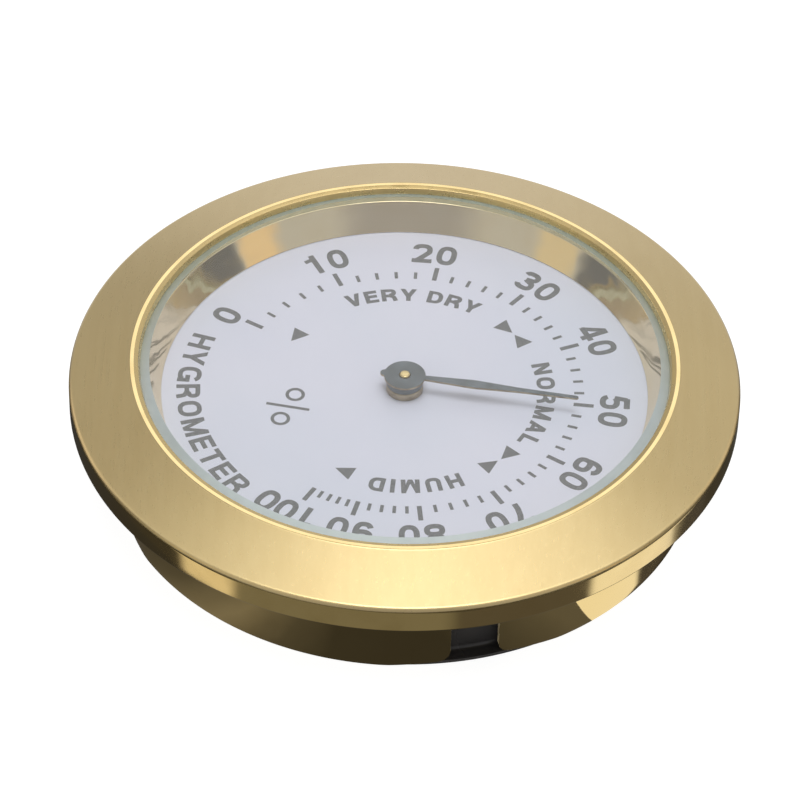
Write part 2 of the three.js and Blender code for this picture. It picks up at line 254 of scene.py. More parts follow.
# The polished sight ring, a soft mirror with faint polishing swirls.
MIRROR = mottled("mirror_brass", (400, 4), (0.4, 0.8, 0, 0.5), (rgb(0.86, 0.72, 0.48), rgb(0.8, 0.64, 0.38)),
                 (0.35, 0.8, 0.05, 0.14), [((150, 2), 0.18, 0.0006)], Metallic=1.0)

# Semi-bright brass with fine turning rings.
TURNED = mottled("turned_brass", (500, 3), (0.35, 0.7, 0, 0.8), (BRASS, BRASS_DEEP), (0.3, 0.7, 0.2, 0.36),
                 [(((250, 250, 9000), 2), 0.12, 0.00002)], Metallic=1.0)

# Browner, darker brass of the bush's head and of the pointer's sides.
AGED = mottled("aged_brass", (900, 4), (0.35, 0.65), (rgb(0.46, 0.38, 0.27), rgb(0.29, 0.23, 0.16)),
               (0.3, 0.7, 0.3, 0.5), Metallic=1.0)

# Dark blue-grey satin coat of pointer and collar.
GUNMETAL = mottled("gunmetal", (500, 3), (0.35, 0.7),
                   (rgb(0.145, 0.165, 0.185), rgb(0.1, 0.113, 0.125)), (0.3, 0.7, 0.3, 0.45),
                   [((3500, 3), 0.1, 0.00002)], Metallic=0.55, Coat_Weight=0.25)

# Cool white satin paint with a very fine orange peel.
ENAMEL = mottled("dial_enamel", (60, 3), (0.3, 0.7), (rgb(0.69, 0.69, 0.8), rgb(0.667, 0.67, 0.787)),
                 bumps=[((1400, 2), 0.05, 0.00003)], Roughness=0.42)

# Mid grey screen print.
INK = mottled("dial_ink", (2500, 3), (0.3, 0.7), (rgb(0.12, 0.12, 0.128), rgb(0.16, 0.16, 0.17)),
              Roughness=0.5)

# Moulded plastic, nearly black, with a gloss that varies a little.
BLACK = mottled("gloss_black", (120, 3), (0.35, 0.7), (rgb(0.032, 0.03, 0.03), rgb(0.045, 0.042, 0.04)),
                (0.3, 0.7, 0.17, 0.3), [((3000, 2), 0.05, 0.00002)], Specular_IOR_Level=0.55)

# Nickel-plated steel of screws and washer, slightly stained.
STEEL = mottled("plated_steel", (700, 4), (0.3, 0.7), (rgb(0.62, 0.61, 0.58), rgb(0.48, 0.47, 0.45)),
                (0.3, 0.7, 0.22, 0.4), [((700, 4), 0.08, 0.00003)], Metallic=1.0)

# The coil: thin metal with a matt, slightly fibrous moisture-sensitive coat.
FIBRES = ((1200, 1200, 6000), 4)
STRIP = mottled("coated_strip", FIBRES, (0.3, 0.7), (rgb(0.46, 0.42, 0.35), rgb(0.34, 0.3, 0.24)),
                (0.3, 0.7, 0.45, 0.65), [(FIBRES, 0.2, 0.00003)], Metallic=0.6)

# The lens's outer wall, with a faint painted glow (emission) for the light that the plate carries to it.
LENS_WALL_GLOW = mottled("lens_wall_painted_glow", (700, 3), (0.3, 0.7), (rgb(0.6, 0.66, 0.64), rgb(0.5, 0.57, 0.55)),
                     Roughness=0.5, Emission_Color=rgb(0.62, 0.63, 0.52), Emission_Strength=0.3)


def see_through(material, tree, shader, body, colour):
    """Glass that the camera sees bent and that inner light passes straight."""
    tree.tree.nodes.remove(shader)
    clear = tree.add("BsdfTransparent", {"Color": colour}).outputs[0]
    ray = tree.add("LightPath").outputs
    returned = tree.add("MixShader", {0: ray["Is Reflection Ray"], 1: body, 2: clear}).outputs[0]
    mixed = tree.add("MixShader", {0: ray["Is Shadow Ray"], 1: returned, 2: clear}).outputs[0]
    tree.link(mixed, tree.tree.nodes["Material Output"].inputs["Surface"])
    return material


def clear_glass():
    """The lens's flat faces: they bend what is seen through them and let the studio's light in."""
    material, tree, shader = new_material("clear_glass")
    smear = tree.ramp(tree.noise(45.0, 4.0, 0.6), 0.35, 0.75)
    colour = tree.mix(smear, rgb(0.985, 0.99, 0.992), rgb(0.97, 0.985, 0.985))
    body = tree.add("BsdfGlass", {"Color": colour, "Roughness": 0.0, "IOR": 1.5}).outputs[0]
    return see_through(material, tree, shader, body, colour)


def ground_glass():
    """The lens's finely ground bevel, which blurs what is behind it and scatters a little light."""
    material, tree, shader = new_material("ground_glass")
    grind = tree.ramp(tree.noise(900.0), 0.3, 0.7)
    tint = tree.mix(grind, rgb(0.5, 0.56, 0.54), rgb(0.45, 0.51, 0.49))
    colour = rgb(0.74, 0.8, 0.78)
    bent = tree.add("BsdfGlass", {"Color": colour, "Roughness": 0.45, "IOR": 1.45}).outputs[0]
    frosted = tree.add("BsdfDiffuse", {"Color": tint}).outputs[0]
    body = tree.add("MixShader", {0: 0.4, 1: bent, 2: frosted}).outputs[0]
    return see_through(material, tree, shader, body, colour)


CLEAR = clear_glass()
GROUND = ground_glass()


def pale_floor():
    """Lit white sweep, which only shows the softest shadow."""
    material, tree, shader = new_material("pale_floor", Roughness=0.9, Specular_IOR_Level=0.0,
                                          Emission_Color=rgb(1, 1, 1), Emission_Strength=0.93)
    weave = tree.mix(tree.noise(8.0, 2.0), rgb(0.24, 0.24, 0.24), rgb(0.26, 0.26, 0.26))
    tree.link(weave, shader.inputs["Base Color"])
    return material


# ---- mesh helpers ----
def shade(mesh):
    """Smooth, but for edges over SHARP."""
    mesh.shade_smooth()
    mesh.set_sharp_from_angle(angle=SHARP)


def mesh_object(name, vertices, faces, materials):
    """A shaded object from millimetre vertices."""
    mesh = bpy.data.meshes.new(name)
    mesh.from_pydata([Vector(v) * MM for v in vertices], [], faces)
    mesh.update()
    for material in materials:
        mesh.materials.append(material)
    shade(mesh)
    return new_object(name, mesh)


def stands_for(piece, body, slot, *nodes):
    """Puts a finished piece on its body, in the place of its CAD nodes; slot is not used."""
    normals = piece.modifiers.new("normals", "WEIGHTED_NORMAL")
    normals.keep_sharp = True
    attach(piece, body)
    if nodes:
        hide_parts(*nodes)


def filleted(corners, closed, steps):
    """An outline whose (x, y, radius) corners are rounded; (x, y) corners stay as they are."""
    outline = []
    count = len(corners)
    for i, corner in enumerate(corners):
        at_end = not closed and i in (0, count - 1)
        if len(corner) < 3 or at_end:
            outline.append(tuple(corner[:2]))
            continue
        here = Vector(corner[:2])
        back = Vector(corners[i - 1][:2]) - here
        ahead = Vector(corners[(i + 1) % count][:2]) - here
        half = back.angle(ahead) / 2
        reach = min(corner[2] / math.tan(half), back.length * 0.49, ahead.length * 0.49)
        back.normalize()
        ahead.normalize()
        centre = here + (back + ahead).normalized() * (reach / math.cos(half))
        spoke = here + back * reach - centre
        sweep = spoke.angle_signed(here + ahead * reach - centre)
        for k in range(steps + 1):
            outline.append(tuple(centre + Matrix.Rotation(-sweep * k / steps, 2) @ spoke))
    return outline


def revolved(outline, sides, closed):
    """Vertices and faces of (radius, z) points turned about Z; an open outline ends on the axis."""
    vertices, rows = [], []
    for r, z in outline:
        if r == 0:
            rows.append([len(vertices)] * sides)
            vertices.append((0.0, 0.0, z))
            continue
        rows.append(range(len(vertices), len(vertices) + sides))
        vertices += [(x, y, z) for x, y in arc_points(0, 0, r, 0, TURN, sides)[:-1]]
    faces = []
    following = rows[1:] + rows[:1] if closed else rows[1:]
    for low, high in zip(rows, following):
        for k in range(sides):
            n = (k + 1) % sides
            corners = [low[k], low[n], high[n], high[k]]
            face = [c for j, c in enumerate(corners) if c not in corners[:j]]
            if len(face) > 2:
                faces.append(face)
    return vertices, faces


def lathe(name, corners, materials, sides=SIDES, steps=5):
    """A turned piece; a profile that starts on the axis is left open there."""
    closed = corners[0][0] > 0
    return mesh_object(name, *revolved(filleted(corners, closed, steps), sides, closed), materials)


def slab(points, low, high):
    """Vertices and faces of a flat outline raised from low to high."""
    count = len(points)
    vertices = [(p[0], p[1], low) for p in points] + [(p[0], p[1], high) for p in points]
    faces = [list(range(count))[::-1], list(range(count, 2 * count))]
    faces += [[i, (i + 1) % count, (i + 1) % count + count, i + count] for i in range(count)]
    return vertices, faces


def strip_slab(strip, low, high, place=tuple):
    """Vertices and faces of a raised strip; place turns each of its points into (x, y)."""
    left, right, closed = strip
    count = len(left)
    vertices = [(*place(point), z) for z in (low, high) for side in (left, right) for point in side]
    left_low, right_low, left_high, right_high = (base * count for base in range(4))
    faces = []
    for k in range(count if closed else count - 1):
        n = (k + 1) % count
        faces.append([left_low + k, left_low + n, right_low + n, right_low + k])
        faces.append([left_high + n, left_high + k, right_high + k, right_high + n])
        faces.append([left_low + n, left_low + k, left_high + k, left_high + n])
        faces.append([right_low + k, right_low + n, right_high + n, right_high + k])
    if not closed:
        for k, order in ((0, 1), (count - 1, -1)):
            faces.append([left_low + k, right_low + k, right_high + k, left_high + k][::order])
    return vertices, faces


def prism(name, outline, low, high, materials):
    return mesh_object(name, *slab(outline, low, high), materials)


def applied(piece):
    """Applies a piece's modifiers and shades it again."""
    graph = bpy.context.evaluated_depsgraph_get()
    mesh = bpy.data.meshes.new_from_object(piece.evaluated_get(graph))
    old = piece.data
    piece.modifiers.clear()
    piece.data = mesh
    bpy.data.meshes.remove(old)
    shade(mesh)


def round_edges(piece, width, segments=3, angle=35.0):
    bevel = piece.modifiers.new("round", "BEVEL")
    bevel.width = width * MM
    bevel.segments = segments
    bevel.limit_method = "ANGLE"
    bevel.angle_limit = math.radians(angle)
    applied(piece)


def cut(piece, cutters):
    """Cuts the cutters out of the piece and removes them."""
    for cutter in cutters:
        boolean = piece.modifiers.new("cut", "BOOLEAN")
        boolean.operation = "DIFFERENCE"
        boolean.solver = "EXACT"
        boolean.object = cutter
        applied(piece)
        mesh = cutter.data
        bpy.data.objects.remove(cutter)
        bpy.data.meshes.remove(mesh)
    return piece


def placed(piece, x=0.0, y=0.0, turn=0.0):
    """Turns a piece about Z and then moves it, in its mesh."""
    piece.data.transform(Matrix.Translation(Vector((x, y, 0)) * MM) @ Matrix.Rotation(turn, 4, "Z"))
    return piece


def clock(degrees):
    """Unit vectors outwards and clockwise at a clock angle of the dial."""
    angle = math.radians(degrees)
    out = Vector((math.sin(angle), math.cos(angle), 0))
    return out, Vector((out.y, -out.x, 0))


def arc_points(x, y, r, start, end, steps):
    """Points of an arc from angle start to end, ends included."""
    angles = [start + (end - start) * k / steps for k in range(steps + 1)]
    return [(x + r * math.cos(a), y + r * math.sin(a)) for a in angles]


def both_ways(half):
    """An outline that repeats its half after half a turn."""
    return half + [(-x, -y) for x, y in half]


def tube(name, bore, r, low, high, bore_round, rim_round, material, sides=SIDES):
    """A turned ring of square section with rounded edges."""
    corners = [(bore, low, bore_round), (r, low, rim_round), (r, high, rim_round), (bore, high, bore_round)]
    return lathe(name, corners, [material], sides)


def drill(r, low, high, x=0.0, y=0.0, sides=48):
    """A round cutter for cut()."""
    return placed(lathe("hole", [(0, low), (r, low), (r, high), (0, high)], [], sides), x, y)


def slot_cutter(half_length, half_width, low, high):
    """A square-ended cutter along X for cut()."""
    corners = [(half_length, -half_width), (half_length, half_width)]
    return prism("slot", both_ways(corners), low, high, [])


# ---- front ----
def make_bezel():
    retainer_r, retainer_z = 27.55, 13.85
    lip_round = 0.3
    land_out, land_in = LIP_R + 0.31, LIP_R - 0.05
    inner_r, inner_z = LIP_R - 0.5, LIP_Z - 0.12
    foot_z = RIM_Z + CONE_SLOPE * (FLANGE_R - LIP_FOOT_R)
    recess_in, recess_out, recess_z = 28.95, 31.05, SEAT_Z + 0.55
    bead = arc_points(land_out, LIP_Z - lip_round, lip_round, math.radians(70), math.radians(90), 6)
    piece = lathe("bezel_ring", [
        (BORE_R, SEAT_Z, 0.08),
        (recess_in, SEAT_Z, 0.05),
        (recess_in, recess_z),
        (recess_out, recess_z),
        (recess_out, SEAT_Z, 0.12),
        (FLANGE_R, SEAT_Z, 0.28),
        (FLANGE_R, RIM_Z, 0.65),
        (LIP_FOOT_R, foot_z, 0.05),
        *bead,
        (land_in, LIP_Z, 0.3),
        (inner_r, inner_z, 0.1),
        (retainer_r, retainer_z + 0.12, 0.1),
        (retainer_r, retainer_z, 0.04),
        (BORE_R, retainer_z - 0.25),
    ], [BRUSHED, RIM, TURNED], steps=7)
    for face in piece.data.polygons:
        r = face.center.xy.length / MM
        on_rim = r > LIP_R and face.center.z < (RIM_Z - 0.35) * MM
        face.material_index = 2 if r < land_in - 0.04 else 1 if on_rim or r < land_out + 0.12 else 0
    stands_for(piece, "housing", "brushed_brass", "bezel")


def make_lens():
    bevel, drop = 1.36, 0.68
    piece = lathe("glass_lens", [
        (0, lens_low.z),
        (LENS_R, lens_low.z, 0.12),
        (LENS_R, lens_high.z - drop, 0.06),
        (LENS_R - bevel, lens_high.z, 0.05),
        (0, lens_high.z),
    ], [CLEAR, GROUND, LENS_WALL_GLOW])
    # The outer wall takes the painted glow.
    for face in piece.data.polygons:
        upright = abs(face.normal.z)
        face.material_index = 0 if upright > 0.99 else 1 if upright > 0.5 else 2
    stands_for(piece, "housing", "lens_glass", "lens")


def make_reflector():
    low, high = ring_low.z, ring_high.z
    sheet = 0.4
    piece = lathe("sight_ring", [
        (SIGHT_R, low, 0.05),
        (SIGHT_R + 1, low),
        (SIGHT_R + 1, low + sheet),
        (SIGHT_R + 0.6, low + sheet, 0.2),
        (SIGHT_TOP_R + 0.25, high - sheet, 0.2),
        (ring_high.x, high - sheet),
        (ring_high.x, high),
        (SIGHT_TOP_R, high, 0.18),
    ], [MIRROR])
    stands_for(piece, "housing", "polished_brass", "reflector_ring")


def make_dial():
    bore = 1.62
    piece = lathe("dial_disc", [
        (bore, dial_low.z),
        (DIAL_R, dial_low.z, 0.08),
        (DIAL_R, DIAL_Z, 0.08),
        (bore, DIAL_Z, 0.06),
    ], [ENAMEL])
    stands_for(piece, "housing", "dial_white", "dial_plate")


# ---- dial print ----
INK_TOP = DIAL_Z + 0.012
CROSSING_STEP = 0.0015
SCALE_START = -134.25
SCALE_STEPS = (35.6, 32.7, 29.4, 28.5, 28.4, 27.6, 25.7, 25.35, 20.15, 15.7)   # clock degrees per 10 %
MINOR_PER_STEP = 5
TICK_IN = 17.75
TICK_MAJOR_OUT = 19.85
TICK_MINOR_OUT = 18.8
NUMERALS_AT = (-135.3, -98.8, -67.7, -35.7, -8.0, 21.6, 48.7, 75.0, 99.1, 118.3, 136.9)   # clock degrees


def scale_angle(reading):
    """Clock angle of a reading in per cent; each 10 % step is divided evenly."""
    step = min(int(reading // 10), len(SCALE_STEPS) - 1)
    return SCALE_START + sum(SCALE_STEPS[:step]) + SCALE_STEPS[step] * (reading / 10 - step)


def ink_piece(name, slabs):
    vertices, faces = [], []
    for part_vertices, part_faces in slabs:
        start = len(vertices)
        vertices += part_vertices
        faces += [[index + start for index in face] for face in part_faces]
    piece = mesh_object(name, vertices, faces, [INK])
    stands_for(piece, "housing", "dial_white")


def tick(angle, inner, outer, width):
    """Slab of one mark of the scale."""
    out, side = clock(angle)
    side *= width / 2
    low, high = out * inner, out * outer
    return slab([high + side, high - side, low - side, low + side], DIAL_Z, INK_TOP)


def make_ticks():
    slabs = []
    for i in range(len(SCALE_STEPS) * MINOR_PER_STEP + 1):
        outer, width = (TICK_MINOR_OUT, 0.36) if i % MINOR_PER_STEP else (TICK_MAJOR_OUT, 0.5)
        slabs.append(tick(scale_angle(i * 10 / MINOR_PER_STEP), TICK_IN, outer, width))
    ink_piece("dial_ticks", slabs)


def make_triangles():
    """Arrowheads of the three zones: clock angle and radius of the middle, and which way they point."""
    base_half, length = 0.97, 1.95
    heads = ((-130.75, 14.05, -1), (-28.55, 14.6, 1), (-19.5, 14.6, -1), (56.7, 14.45, 1), (66.0, 14.4, -1),
             (130.1, 14.05, 1))
    slabs = []
    for angle, r, way in heads:
        out, clockwise = clock(angle)
        ahead = clockwise * way
        base = out * r - ahead * length / 2
        points = [base - out * base_half, base + out * base_half, base + ahead * length]
        if way > 0:
            points.reverse()
        slabs.append(slab(points, DIAL_Z, INK_TOP))
    ink_piece("dial_arrowheads", slabs)


def oval(cx, cy, rx, ry, start, end, power=2.5, steps=28):
    """Points of a squarish oval's centre line, from angle start to end in degrees."""
    points = []
    for k in range(steps + 1):
        angle = math.radians(start + (end - start) * k / steps)
        c, s = math.cos(angle), math.sin(angle)
        points.append((cx + rx * math.copysign(abs(c) ** (2 / power), c),
                       cy + ry * math.copysign(abs(s) ** (2 / power), s)))
    return points


def stroke(points, width, closed=False):
    """A strip (left side, right side, closed) along a centre line."""
    line = [Vector(p) for p in points]
    if closed:
        line = line[:-1]
    left, right = [], []
    for i, here in enumerate(line):
        before = line[i - 1] if closed or i else here
        after = line[(i + 1) % len(line)] if closed or i < len(line) - 1 else here
        arrive = (here - before).normalized() if before != here else (after - here).normalized()
        leave = (after - here).normalized() if after != here else arrive
        along = (arrive + leave).normalized()
        reach = width / 2 / max(along.dot(leave), 0.5)
        side = Vector((-along.y, along.x)) * reach
        left.append(here + side)
        right.append(here - side)
    return left, right, closed


def slash(x0, y0, x1, y1, width):
    """A straight strip with level ends."""
    slant = math.hypot(x1 - x0, y1 - y0) / abs(y1 - y0) * width / 2
    return ([Vector((x0 - slant, y0)), Vector((x1 - slant, y1))],
            [Vector((x0 + slant, y0)), Vector((x1 + slant, y1))], False)


def glyph(letter, w):
    """(width, strips) of a bold sans letter one unit high, with strokes w wide."""
    h = w / 2
    m = 0.36   # middle of a numeral, which is twice as wide
    r = m - h
    top = 1 - h

    def bar(y, x0, x1):
        return stroke([(x0, y), (x1, y)], w)

    def stem(x, y0=0.0, y1=1.0):
        return stroke([(x, y0), (x, y1)], w)

    def bowl(x, y, rx, ry):
        return stroke(oval(x, y, rx, ry, 0, 360), w, True)

    six = [bowl(m, 0.32, r, 0.32 - h),
           stroke(oval(m, 0.5, r, 0.5 - h, 195, 32), w)]
    numerals = {
        "0": (2 * m, [bowl(m, 0.5, r, 0.5 - h)]),
        "1": (0.59, [stem(0.46 - h), stroke([(0.46 - h, 0.87), (0.27, 0.77), (0.02, 0.74)], w * 0.8)]),
        "2": (2 * m, [stroke(oval(m, 0.68, r, 0.32 - h, 175, -32) + [(0.36, 0.3), (0.17, h)], w),
                      bar(h, 0.0, 2 * m)]),
        "3": (2 * m, [stroke(oval(m, 0.735, r * 0.94, 0.265 - h, 170, -80) + [(0.26, 0.53)], w),
                      stroke([(0.26, 0.53)] + oval(m, 0.285, r, 0.285 - h, 75, -170), w)]),
        "4": (0.76, [stem(0.53), bar(0.27, 0.02, 0.76), slash(0.10, 0.27, 0.5, 1.0, w * 0.9)]),
        "5": (2 * m, [bar(top, 0.14, 0.66), stroke([(0.2, top), (0.12, 0.47)], w),
                      stroke(oval(m - 0.01, 0.32, r, 0.34 - h, 140, -165), w)]),
        "6": (2 * m, six),
        "7": (0.68, [bar(top, 0.0, 0.68), stroke([(0.58, top), (0.38, 0.55), (0.28, 0.25), (0.25, 0.0)], w)]),
        "8": (2 * m, [bowl(m, 0.74, r * 0.92, 0.26 - h), bowl(m, 0.29, r, 0.29 - h)]),
    }
    if letter in numerals:
        return numerals[letter]
    if letter == "9":
        opposite = Vector((2 * m, 1))
        return 2 * m, [([opposite - p for p in left], [opposite - p for p in right], closed)
                       for left, right, closed in six]
    letters = {
        "A": (0.8, [slash(0.10, 0, 0.4, 1, w), slash(0.70, 0, 0.4, 1, w), bar(0.28, 0.2, 0.6)]),
        "D": (0.76, [stroke([(h, 0.5), (h, h), (0.3, h)] + oval(0.32, 0.5, 0.44 - h, 0.5 - h, -80, 80)
                            + [(0.3, top), (h, top), (h, 0.5)], w, True)]),
        "E": (0.66, [stem(h), bar(h, h, 0.66), bar(0.52, h, 0.62), bar(top, h, 0.65)]),
        "G": (0.82, [stroke(oval(0.42, 0.5, 0.42 - h, 0.5 - h, 32, 318), w), bar(0.43, 0.46, 0.82),
                     stem(0.82 - h * 0.8, 0.0, 0.5)]),
        "H": (0.76, [stem(h), stem(0.76 - h), bar(0.51, h, 0.76 - h)]),
        "I": (w, [stem(h)]),
        "L": (0.62, [stem(h), bar(h, h, 0.62)]),
        "M": (0.9, [stem(h), stem(0.9 - h), slash(0.45, 0, h, 1, w * 0.85),
                    slash(0.45, 0, 0.9 - h, 1, w * 0.85)]),
        "N": (0.76, [stem(h), stem(0.76 - h), slash(0.76 - h, 0, h, 1, w * 0.95)]),
        "O": (0.84, [bowl(0.42, 0.5, 0.42 - h, 0.5 - h)]),
        "R": (0.77, [stem(h), stroke([(h, top), (0.4, top)] + oval(0.44, 0.71, 0.3 - h, 0.29 - h, 80, -80)
                                     + [(0.4, 0.42 + h * 0.2), (h, 0.42 + h * 0.2)], w),
                     stroke([(0.42, 0.43), (0.59, 0.34), (0.63, 0.2), (0.67, 0.0)], w)]),
        "T": (0.68, [bar(top, 0.0, 0.68), stem(0.34)]),
        "U": (0.76, [stroke([(h, 1.0), (h, 0.4)] + oval(0.38, 0.36, 0.38 - h, 0.36 - h, 180, 360)
                            + [(0.76 - h, 0.4), (0.76 - h, 1.0)], w)]),
        "V": (0.76, [slash(0.38, 0, 0.1, 1, w), slash(0.38, 0, 0.66, 1, w)]),
        "Y": (0.78, [stem(0.39, 0.0, 0.45), slash(0.39, 0.36, 0.1, 1, w), slash(0.39, 0.36, 0.68, 1, w)]),
    }
    return letters[letter]


def arc_word(text, height, weight, wide, radius, first, last=None, advance=None, inward=False):
    """Slabs of a word round an arc of the dial, radius being that of the letters' middle.

    Either the middles of the first and last letter stand at the clock angles first and last with
    even gaps between letters, or first is the word's middle and every letter advances the same.
    Tops point outwards, or inwards when inward is set. Crossing strips differ a little in height.
    """
    glyphs = [(0.2, []) if c == " " else glyph(c, weight) for c in text]
    widths = [width * height * wide for width, _ in glyphs]
    way = -1 if inward else 1
    places = [0.0]
    if advance is None:
        inner = sum(widths) - (widths[0] + widths[-1]) / 2
        gap = (math.radians(abs(last - first)) * radius - inner) / (len(text) - 1)
        for before, here in zip(widths, widths[1:]):
            places.append(places[-1] + before / 2 + gap + here / 2)
    else:
        places = [advance * (i - (len(text) - 1) / 2) for i in range(len(text))]
    slabs = []
    for (width, strips), along in zip(glyphs, places):
        out, clockwise = clock(first + way * math.degrees(along / radius))
        right, up = clockwise * way, out * way

        def place(point):
            across = right * (point.x - width / 2) * height * wide
            return (out * radius + across + up * (point.y - 0.5) * height).xy

        slabs += [strip_slab(strip, DIAL_Z, INK_TOP + CROSSING_STEP * i, place)
                  for i, strip in enumerate(strips)]
    return slabs


def make_numerals():
    slabs = []
    for i, angle in enumerate(NUMERALS_AT):
        advance = 2.36 if i == len(NUMERALS_AT) - 1 else 2.66
        slabs += arc_word(str(i * 10), 3.1, 0.205, 0.965, 22.05, angle, advance=advance)
    ink_piece("dial_numerals", slabs)


def make_words():
    slabs = arc_word("HYGROMETER", 2.5, 0.2, 1.12, 22.6, 212, 153, inward=True)
    slabs += arc_word("VERY DRY", 1.92, 0.225, 1.13, 15.05, -97.3, -47.8)
    slabs += arc_word("NORMAL", 1.95, 0.225, 1.13, 14.85, 0.3, 44.6)
    slabs += arc_word("HUMID", 2.0, 0.225, 1.07, 14.8, 83.6, 114.9)
    ink_piece("dial_words", slabs)


def make_percent():
    """The unit sign below the centre: two small rings and a slash."""
    middle = Vector((-0.05, -12.5))
    slope = Vector((1.0, 2.07))
    across = Vector((slope.y, -slope.x)).normalized() * 0.185
    low, high = middle - slope, middle + slope
    bar = [low + across, high + across, high - across, low - across]
    ring_at = Vector((-1.64, 1.16))
    slabs = [slab(bar, DIAL_Z, INK_TOP)]
    for x, y in (middle + ring_at, middle - ring_at):
        inner, outer = (arc_points(x, y, r, 0, TURN, 40)[:-1] for r in (0.66, 1.02))
        slabs.append(strip_slab((inner, outer, True), DIAL_Z, INK_TOP))
    ink_piece("dial_percent_sign", slabs)


# ---- pointer ----
def make_pointer():
    tip_r = 18.3
    neck, widest, widest_r, middle, tip = 0.3, 0.58, 7.3, 0.3, 0.2
    tail_r, tail_at = 0.45, 0.02 - HUB_R
    neck_join = math.asin(neck / HUB_R)
    tail_join = math.asin(tail_r / HUB_R)
    outline = arc_points(0, 0, HUB_R, QUARTER + neck_join, 3 * QUARTER - tail_join, 36)
    outline += arc_points(0, tail_at, tail_r, -math.pi, 0, 16)[1:-1]
    outline += arc_points(0, 0, HUB_R, 3 * QUARTER + tail_join, 5 * QUARTER - neck_join, 36)
    side = [(widest, widest_r, 3.0), (middle, 12, 8.0), (tip, tip_r - 0.15, 0.1), (0.08, tip_r, 0.05)]
    blade = side + [(-x, y, r) for x, y, r in reversed(side)]
    ends = [outline[-1], *blade, outline[0]]
    outline = outline[1:-1] + filleted(ends, closed=False, steps=4)
    hand = prism("pointer_hand", outline, *heights("pointer"), [GUNMETAL, AGED])
    cut(hand, [drill(0.6, 8, 14)])
    round_edges(hand, 0.045, angle=40)
    for face in hand.data.polygons:
        face.material_index = 1 if face.normal.z < 0.4 else 0
    placed(hand, turn=-math.radians(POINTER_CLOCK))
    stands_for(hand, "pointer", "gunmetal", "pointer")


def make_hub():
    bore, boss_r = 0.61, 1.93
    bush_bore, neck_r, head_z = 0.63, 1.5, DIAL_Z + 0.05
    pivot_r, arbor_r, pivot_z = 0.28, 0.55, 4.2
    low, high = heights("pointer_collar")
    collar = lathe("pointer_boss", [
        (bore, low),
        (boss_r, low, 0.08),
        (boss_r, high, 0.05),
        (bore, high),
    ], [GUNMETAL], sides=96)
    stands_for(collar, "pointer", "gunmetal", "pointer_collar")
    low, high = heights("dial_bush")
    bush = lathe("front_bush", [
        (bush_bore, low),
        (neck_r, low, 0.1),
        (neck_r, head_z),
        (boss_r, head_z, 0.03),
        (boss_r, high, 0.12),
        (bush_bore, high),
    ], [AGED], sides=96)
    stands_for(bush, "housing", "turned_brass", "dial_bush")
    low, high = heights("pointer_arbor")
    arbor = lathe("arbor_shaft", [
        (0, low),
        (pivot_r, low, 0.1),
        (pivot_r, pivot_z, 0.05),
        (arbor_r, pivot_z, 0.05),
        (arbor_r, high, 0.16),
        (0, high),
    ], [TURNED], sides=48)
    stands_for(arbor, "pointer", "turned_brass", "pointer_arbor")


# ---- skirt ----
SLOT_COUNT = 4
SLOT_HALF = 2.55
SLOT_CORNER = 1.2
TAB_BEND = 0.75
TAB_BEND_SPAN = math.radians(17)
TAB_BEND_RISE = 1.2
SHEET_THICK = 0.5


def tab_radius(offset, z):
    """Outside radius of the skirt at a height and an angle from the nearest slot's middle."""
    fade = 1 - min(abs(offset) / TAB_BEND_SPAN, 1.0)
    down = min(max((SEAT_Z - z) / TAB_BEND_RISE, 0.0), 1.0)
    return SKIRT_R - TAB_BEND * fade * down * down * (3 - 2 * down)


def make_skirt():
    """A band of sheet: a flange turned inwards at the top, a wall below it, open at the slots."""
    low, high = skirt_low.z, skirt_high.z
    slot_half = SLOT_HALF / SKIRT_R
    corner = SLOT_CORNER / SKIRT_R
    pitch = TURN / SLOT_COUNT
    corner_steps, wall_steps, wall_rows = 3, 56, 14
    first = slot_half + corner
    rounding = [slot_half + corner * (1 - math.cos(QUARTER * k / corner_steps))
                for k in range(corner_steps)]
    offsets = [-slot_half * 0.5, 0.0, slot_half * 0.5, *rounding]
    offsets += [first + (pitch - 2 * first) * k / wall_steps for k in range(wall_steps + 1)]
    offsets += [pitch - offset for offset in reversed(rounding)]
    top_rows = [(29.1, high), (29.6, high), (SKIRT_R - 0.45, high), (SKIRT_R - 0.18, high - 0.05),
                (SKIRT_R - 0.04, high - 0.18), (SKIRT_R, SEAT_Z)]
    vertices, columns = [], []
    for s in range(SLOT_COUNT):
        for offset in offsets:
            near = offset if offset < pitch / 2 else offset - pitch
            reach = max(0.0, first - abs(near)) * SKIRT_R
            lift = SLOT_CORNER - math.sqrt(max(0.0, SLOT_CORNER ** 2 - min(reach, SLOT_CORNER) ** 2))
            rows = list(top_rows)
            if abs(near) >= slot_half - 1e-6:
                depths = [SEAT_Z + (low + lift - SEAT_Z) * k / wall_rows for k in range(1, wall_rows + 1)]
                rows += [(tab_radius(near, z), z) for z in depths]
            angle = s * pitch + offset
            columns.append(range(len(vertices), len(vertices) + len(rows)))
            vertices += [(r * math.cos(angle), r * math.sin(angle), z) for r, z in rows]
    faces = []
    for i, column in enumerate(columns):
        other = columns[(i + 1) % len(columns)]
        for k in range(min(len(column), len(other)) - 1):
            faces.append([column[k], column[k + 1], other[k + 1], other[k]])
    piece = mesh_object("slotted_skirt", vertices, faces, [SHEET, EDGE])
    thick = piece.modifiers.new("sheet", "SOLIDIFY")
    thick.thickness = SHEET_THICK * MM
    thick.offset = -1.0
    thick.use_even_offset = True
    applied(piece)
    round_edges(piece, 0.15, segments=4, angle=60)
    # Cut edges take the painted highlight.
    for face in piece.data.polygons:
        outward = face.center.xy.normalized().dot(face.normal.xy)
        face.material_index = 1 if abs(outward) < 0.985 and face.center.z < (SEAT_Z - 0.1) * MM else 0
    stands_for(piece, "housing", "skirt_brass", "mounting_skirt")


# ---- rear case ----
POST_R = 21.0
POST_COUNT = 3
POST_FIRST = QUARTER
VENT_COUNT = 12
CASE_BASE = 1.2
ADJUSTER_HOLE_R = 3.2


